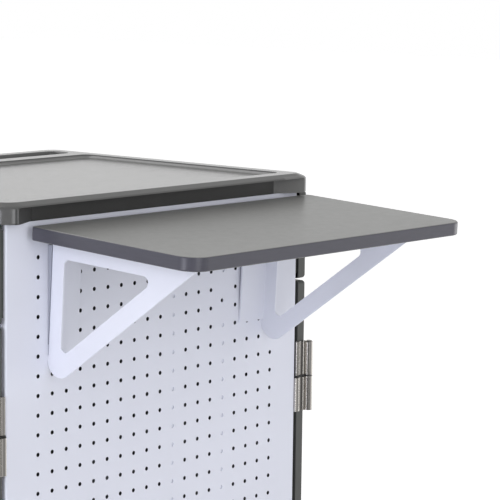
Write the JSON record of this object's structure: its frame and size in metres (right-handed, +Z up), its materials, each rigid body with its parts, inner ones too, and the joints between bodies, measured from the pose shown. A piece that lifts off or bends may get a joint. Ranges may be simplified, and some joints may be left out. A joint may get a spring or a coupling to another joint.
{
  "type": "mobile computer desk",
  "caption": "Vented steel cabinet on casters with a moulded worktop, end doors and a sloped side keyboard tray on two gusset brackets.",
  "frame": {"origin": "on the floor, below the middle of the cabinet's plan between its two side panels and its two door ends", "axes": "+Z up, -Y towards the keyboard tray side, +X along the side panels, towards the right seen from the tray side"},
  "size_m": [0.6586, 0.7897, 1.015],
  "materials": {
    "moulded_grey": "fine-grained moulded plastic, dark grey",
    "core_board": "bare particle board",
    "white_paint": "smooth white powder coat",
    "dark_paint": "dark grey powder coat",
    "nickel": "satin nickel plate",
    "zinc_plate": "bright zinc plate",
    "tray_laminate": "matt grey laminate with a matching edge",
    "wheel_rubber": "dark grey rubber tread",
    "pedal_plastic": "black plastic"
  },
  "bodies": {
    "cabinet": {"top_shell": "moulded_grey", "top_core": "core_board", "side_panel_front": "white_paint", "side_panel_back": "white_paint", "upright_front": "white_paint", "upright_back": "white_paint", "tray_bracket_left": "white_paint", "tray_bracket_right": "white_paint", "bracket_wedge_left": "white_paint", "bracket_wedge_right": "white_paint", "roof_plate": "dark_paint", "base_pan": "dark_paint", "post_front_left": "dark_paint", "post_front_right": "dark_paint", "post_back_left": "dark_paint", "post_back_right": "dark_paint", "shelf_lower": "dark_paint", "shelf_upper": "dark_paint", "shelf_rails": "dark_paint", "header_left": "dark_paint", "header_right": "dark_paint", "hinge_fixed_left": "nickel", "hinge_fixed_right": "nickel", "latch_strikes": "zinc_plate", "bracket_studs": "zinc_plate", "bracket_nuts": "zinc_plate", "tray_screws": "zinc_plate", "caster_bolts": "zinc_plate", "tray_board": "tray_laminate", "caster_plate_front_left": "zinc_plate", "caster_plate_front_right": "zinc_plate", "caster_plate_back_left": "zinc_plate", "caster_plate_back_right": "zinc_plate"},
    "door_left": {"door_pan_left": "dark_paint", "door_liner_left": "dark_paint", "hinge_moving_left": "nickel"},
    "latch_left": {"latch_handle_left": "nickel", "latch_cam_left": "zinc_plate"},
    "door_right": {"door_pan_right": "dark_paint", "door_liner_right": "dark_paint", "hinge_moving_right": "nickel"},
    "latch_right": {"latch_handle_right": "nickel", "latch_cam_right": "zinc_plate"},
    "swivel_front_left": {"caster_fork_front_left": "zinc_plate", "caster_axle_front_left": "zinc_plate"},
    "wheel_front_left": {"caster_wheel_front_left": "wheel_rubber"},
    "swivel_front_right": {"caster_fork_front_right": "zinc_plate", "caster_axle_front_right": "zinc_plate"},
    "wheel_front_right": {"caster_wheel_front_right": "wheel_rubber"},
    "swivel_back_left": {"caster_fork_back_left": "zinc_plate", "caster_axle_back_left": "zinc_plate"},
    "wheel_back_left": {"caster_wheel_back_left": "wheel_rubber"},
    "swivel_back_right": {"caster_fork_back_right": "zinc_plate", "caster_axle_back_right": "zinc_plate"},
    "wheel_back_right": {"caster_wheel_back_right": "wheel_rubber"},
    "pedal_front_left": {"caster_brake_front_left": "pedal_plastic"},
    "pedal_front_right": {"caster_brake_front_right": "pedal_plastic"}
  },
  "joints": [
    {"name": "door_left_swing", "type": "hinge", "parent": "cabinet", "child": "door_left", "pos_m": [-0.3125, -0.2175, 0.5117], "axis": [0, 0, 1], "range_deg": [0, 180]},
    {"name": "latch_left_turn", "type": "hinge", "parent": "door_left", "child": "latch_left", "pos_m": [-0.308, 0.146, 0.5117], "axis": [1, 0, 0], "range_deg": [0, 90]},
    {"name": "door_right_swing", "type": "hinge", "parent": "cabinet", "child": "door_right", "pos_m": [0.3125, -0.2175, 0.5117], "axis": [0, 0, -1], "range_deg": [0, 180]},
    {"name": "latch_right_turn", "type": "hinge", "parent": "door_right", "child": "latch_right", "pos_m": [0.308, 0.146, 0.5117], "axis": [1, 0, 0], "range_deg": [0, 90]},
    {"name": "swivel_front_left_turn", "type": "hinge", "parent": "cabinet", "child": "swivel_front_left", "pos_m": [-0.219, -0.149, 0.146], "axis": [0, 0, 1], "continuous": true},
    {"name": "wheel_front_left_roll", "type": "hinge", "parent": "swivel_front_left", "child": "wheel_front_left", "pos_m": [-0.183, -0.149, 0.0625], "axis": [0, 1, 0], "continuous": true},
    {"name": "swivel_front_right_turn", "type": "hinge", "parent": "cabinet", "child": "swivel_front_right", "pos_m": [0.219, -0.149, 0.146], "axis": [0, 0, 1], "continuous": true},
    {"name": "wheel_front_right_roll", "type": "hinge", "parent": "swivel_front_right", "child": "wheel_front_right", "pos_m": [0.255, -0.149, 0.0625], "axis": [0, 1, 0], "continuous": true},
    {"name": "swivel_back_left_turn", "type": "hinge", "parent": "cabinet", "child": "swivel_back_left", "pos_m": [-0.219, 0.149, 0.146], "axis": [0, 0, 1], "continuous": true},
    {"name": "wheel_back_left_roll", "type": "hinge", "parent": "swivel_back_left", "child": "wheel_back_left", "pos_m": [-0.183, 0.149, 0.0625], "axis": [0, 1, 0], "continuous": true},
    {"name": "swivel_back_right_turn", "type": "hinge", "parent": "cabinet", "child": "swivel_back_right", "pos_m": [0.219, 0.149, 0.146], "axis": [0, 0, 1], "continuous": true},
    {"name": "wheel_back_right_roll", "type": "hinge", "parent": "swivel_back_right", "child": "wheel_back_right", "pos_m": [0.255, 0.149, 0.0625], "axis": [0, 1, 0], "continuous": true},
    {"name": "pedal_front_left_press", "type": "hinge", "parent": "swivel_front_left", "child": "pedal_front_left", "pos_m": [-0.236, -0.149, 0.13], "axis": [0, -1, 0], "range_deg": [0, 15]},
    {"name": "pedal_front_right_press", "type": "hinge", "parent": "swivel_front_right", "child": "pedal_front_right", "pos_m": [0.202, -0.149, 0.13], "axis": [0, -1, 0], "range_deg": [0, 15]}
  ]
}
